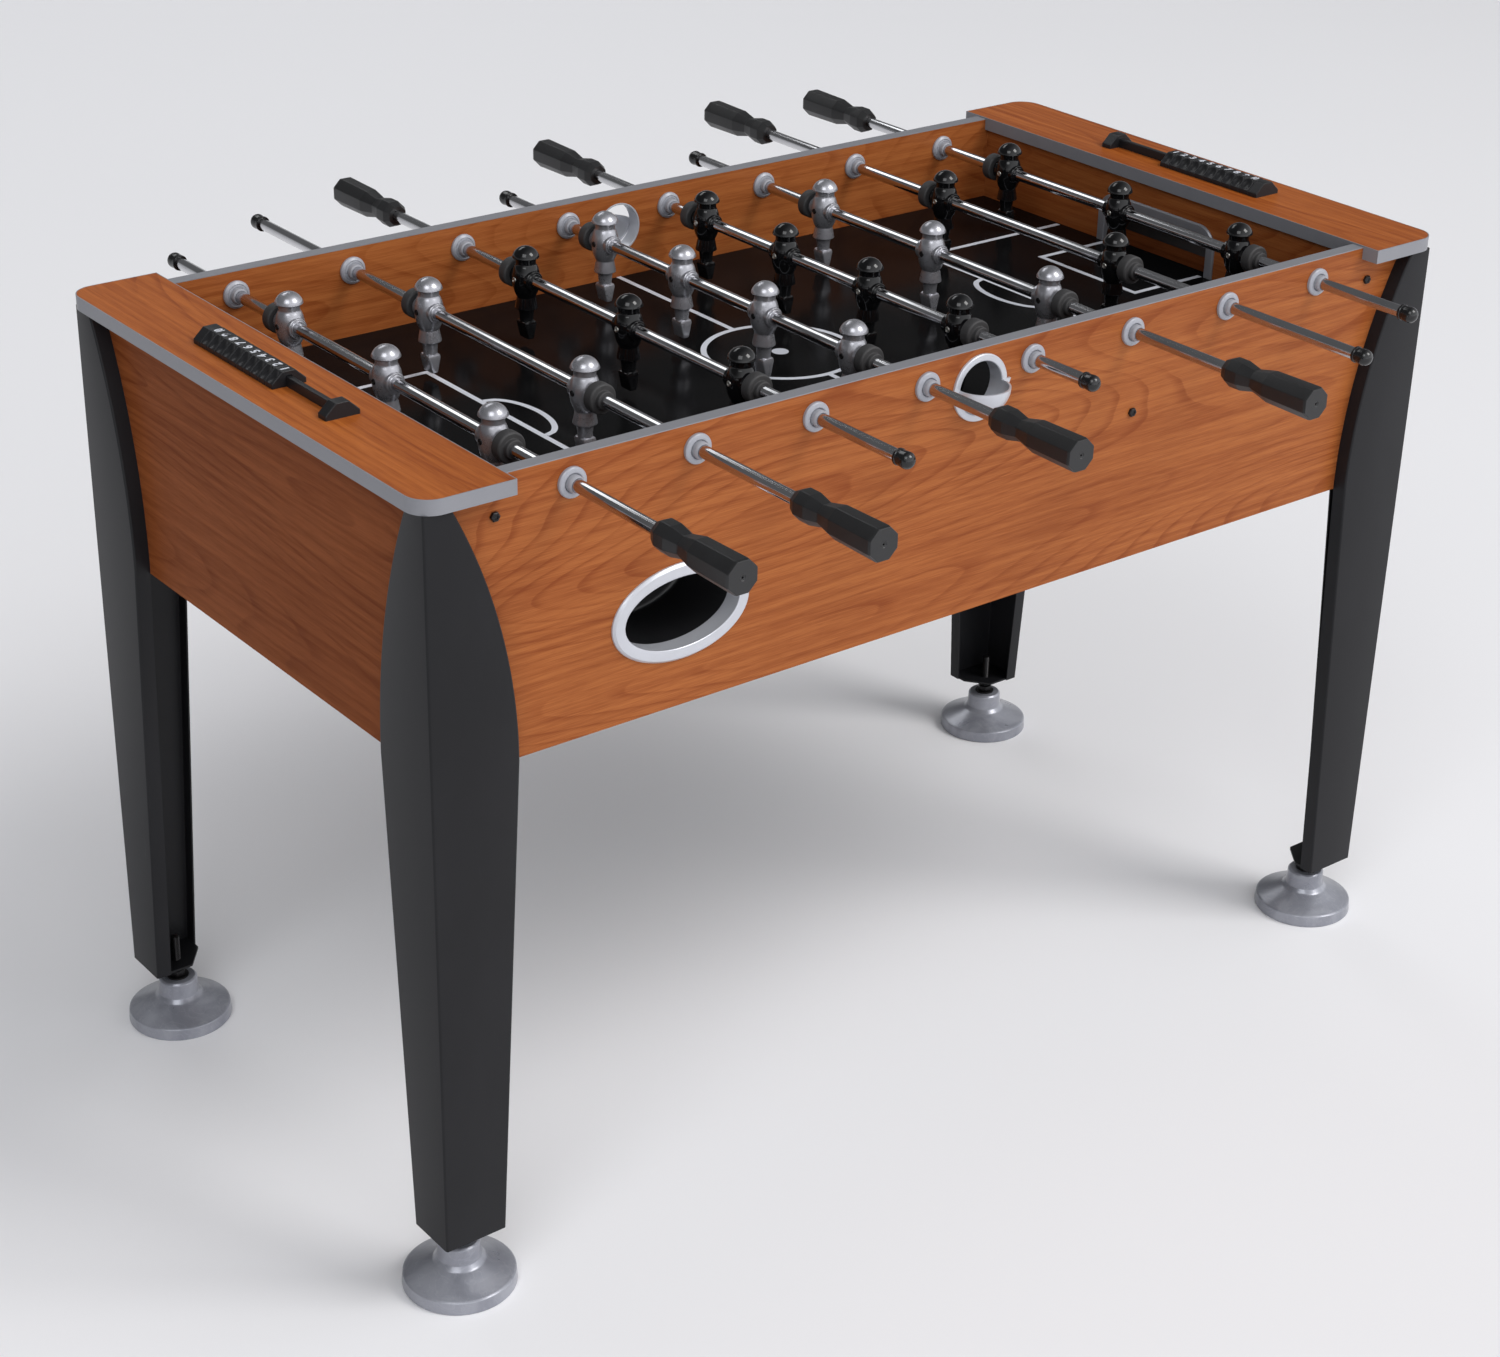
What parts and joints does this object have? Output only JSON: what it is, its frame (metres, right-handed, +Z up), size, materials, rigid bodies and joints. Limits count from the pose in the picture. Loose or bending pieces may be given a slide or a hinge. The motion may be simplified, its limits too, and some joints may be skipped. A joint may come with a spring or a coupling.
{
  "type": "foosball table",
  "caption": "Free-standing foosball table: wood-look cabinet on four tapered black legs, sliding rods with players, goals, bead scorers, serve cups and levelling feet.",
  "frame": {"origin": "on the floor under the middle of the table", "axes": "+X along the table, +Y across it to the far side, +Z up"},
  "size_m": [1.3486, 1.1588, 0.8794],
  "materials": {
    "cherry_panel": "satin cherry laminate",
    "cherry_board": "satin cherry laminate",
    "banding": "matt grey edge banding",
    "goal_grey": "satin grey moulding",
    "field_black": "satin black printed board with white markings",
    "raw_board": "plain board",
    "silver_plastic": "silver painted moulding",
    "bearing_grey": "satin grey moulding",
    "black_screw": "black oxide",
    "black_steel": "satin black powder coat",
    "foot_grey": "pearl grey moulding",
    "scorer_black": "semi-gloss black moulding with white numerals",
    "chrome": "polished chrome",
    "silver_men": "metallic silver paint on plastic",
    "black_men": "high gloss black moulding",
    "grip_black": "fine matt black moulding",
    "rubber": "dull black rubber"
  },
  "bodies": {
    "cabinet": {"side_panels": "cherry_panel", "end_panels": "cherry_panel", "end_boards": "cherry_board", "edge_banding": "banding", "goal_walls": "cherry_panel", "goal_frames": "goal_grey", "playfield": "field_black", "underfield_bars_and_ramps": "raw_board", "ball_returns": "silver_plastic", "serve_cups": "silver_plastic", "bearing_housings": "bearing_grey", "cabinet_bolts": "black_screw", "legs": "black_steel", "scorer_rails": "scorer_black"},
    "bushes_1": {"bushes_1": "bearing_grey"},
    "rod_1": {"rod_1": "chrome", "men_1": "silver_men", "handle_1": "grip_black", "bumpers_and_cap_1": "rubber"},
    "bushes_2": {"bushes_2": "bearing_grey"},
    "rod_2": {"rod_2": "chrome", "men_2": "silver_men", "handle_2": "grip_black", "bumpers_and_cap_2": "rubber"},
    "bushes_3": {"bushes_3": "bearing_grey"},
    "rod_3": {"rod_3": "chrome", "men_3": "black_men", "handle_3": "grip_black", "bumpers_and_cap_3": "rubber"},
    "bushes_4": {"bushes_4": "bearing_grey"},
    "rod_4": {"rod_4": "chrome", "men_4": "silver_men", "handle_4": "grip_black", "bumpers_and_cap_4": "rubber"},
    "bushes_5": {"bushes_5": "bearing_grey"},
    "rod_5": {"rod_5": "chrome", "men_5": "black_men", "handle_5": "grip_black", "bumpers_and_cap_5": "rubber"},
    "bushes_6": {"bushes_6": "bearing_grey"},
    "rod_6": {"rod_6": "chrome", "men_6": "silver_men", "handle_6": "grip_black", "bumpers_and_cap_6": "rubber"},
    "bushes_7": {"bushes_7": "bearing_grey"},
    "rod_7": {"rod_7": "chrome", "men_7": "black_men", "handle_7": "grip_black", "bumpers_and_cap_7": "rubber"},
    "bushes_8": {"bushes_8": "bearing_grey"},
    "rod_8": {"rod_8": "chrome", "men_8": "black_men", "handle_8": "grip_black", "bumpers_and_cap_8": "rubber"},
    "scorer_beads_left": {"scorer_beads_left": "scorer_black"},
    "scorer_beads_right": {"scorer_beads_right": "scorer_black"},
    "leveller_near_left": {"leveller_near_left": "foot_grey"},
    "leveller_near_right": {"leveller_near_right": "foot_grey"},
    "leveller_far_left": {"leveller_far_left": "foot_grey"},
    "leveller_far_right": {"leveller_far_right": "foot_grey"}
  },
  "joints": [
    {"name": "rod_1_spin", "type": "hinge", "parent": "cabinet", "child": "bushes_1", "pos_m": [-0.4872, 0, 0.837], "axis": [0, 1, 0], "continuous": true},
    {"name": "rod_1_slide", "type": "slide", "parent": "bushes_1", "child": "rod_1", "axis": [0, 1, 0], "range_m": [-0.0634, 0.0654]},
    {"name": "rod_2_spin", "type": "hinge", "parent": "cabinet", "child": "bushes_2", "pos_m": [-0.348, 0, 0.837], "axis": [0, 1, 0], "continuous": true},
    {"name": "rod_2_slide", "type": "slide", "parent": "bushes_2", "child": "rod_2", "axis": [0, 1, 0], "range_m": [-0.1168, 0.1062]},
    {"name": "rod_3_spin", "type": "hinge", "parent": "cabinet", "child": "bushes_3", "pos_m": [-0.2088, 0, 0.837], "axis": [0, 1, 0], "continuous": true},
    {"name": "rod_3_slide", "type": "slide", "parent": "bushes_3", "child": "rod_3", "axis": [0, 1, 0], "range_m": [-0.0519, 0.0769]},
    {"name": "rod_4_spin", "type": "hinge", "parent": "cabinet", "child": "bushes_4", "pos_m": [-0.0696, 0, 0.837], "axis": [0, 1, 0], "continuous": true},
    {"name": "rod_4_slide", "type": "slide", "parent": "bushes_4", "child": "rod_4", "axis": [0, 1, 0], "range_m": [-0.0499, 0.0249]},
    {"name": "rod_5_spin", "type": "hinge", "parent": "cabinet", "child": "bushes_5", "pos_m": [0.0696, 0, 0.837], "axis": [0, 1, 0], "continuous": true},
    {"name": "rod_5_slide", "type": "slide", "parent": "bushes_5", "child": "rod_5", "axis": [0, 1, 0], "range_m": [-0.0484, 0.0264]},
    {"name": "rod_6_spin", "type": "hinge", "parent": "cabinet", "child": "bushes_6", "pos_m": [0.2088, 0, 0.837], "axis": [0, 1, 0], "continuous": true},
    {"name": "rod_6_slide", "type": "slide", "parent": "bushes_6", "child": "rod_6", "axis": [0, 1, 0], "range_m": [-0.0624, 0.0664]},
    {"name": "rod_7_spin", "type": "hinge", "parent": "cabinet", "child": "bushes_7", "pos_m": [0.348, 0, 0.837], "axis": [0, 1, 0], "continuous": true},
    {"name": "rod_7_slide", "type": "slide", "parent": "bushes_7", "child": "rod_7", "axis": [0, 1, 0], "range_m": [-0.1062, 0.1168]},
    {"name": "rod_8_spin", "type": "hinge", "parent": "cabinet", "child": "bushes_8", "pos_m": [0.4872, 0, 0.837], "axis": [0, 1, 0], "continuous": true},
    {"name": "rod_8_slide", "type": "slide", "parent": "bushes_8", "child": "rod_8", "axis": [0, 1, 0], "range_m": [-0.0544, 0.0744]},
    {"name": "scorer_left_slide", "type": "slide", "parent": "cabinet", "child": "scorer_beads_left", "axis": [0, -1, 0], "range_m": [0, 0.0828]},
    {"name": "scorer_right_slide", "type": "slide", "parent": "cabinet", "child": "scorer_beads_right", "axis": [0, 1, 0], "range_m": [0, 0.0828]},
    {"name": "leveller_near_left_screw", "type": "slide", "parent": "cabinet", "child": "leveller_near_left", "axis": [0, 0, 1], "range_m": [-0.015, 0]},
    {"name": "leveller_near_right_screw", "type": "slide", "parent": "cabinet", "child": "leveller_near_right", "axis": [0, 0, 1], "range_m": [-0.015, 0]},
    {"name": "leveller_far_left_screw", "type": "slide", "parent": "cabinet", "child": "leveller_far_left", "axis": [0, 0, 1], "range_m": [-0.015, 0]},
    {"name": "leveller_far_right_screw", "type": "slide", "parent": "cabinet", "child": "leveller_far_right", "axis": [0, 0, 1], "range_m": [-0.015, 0]}
  ]
}
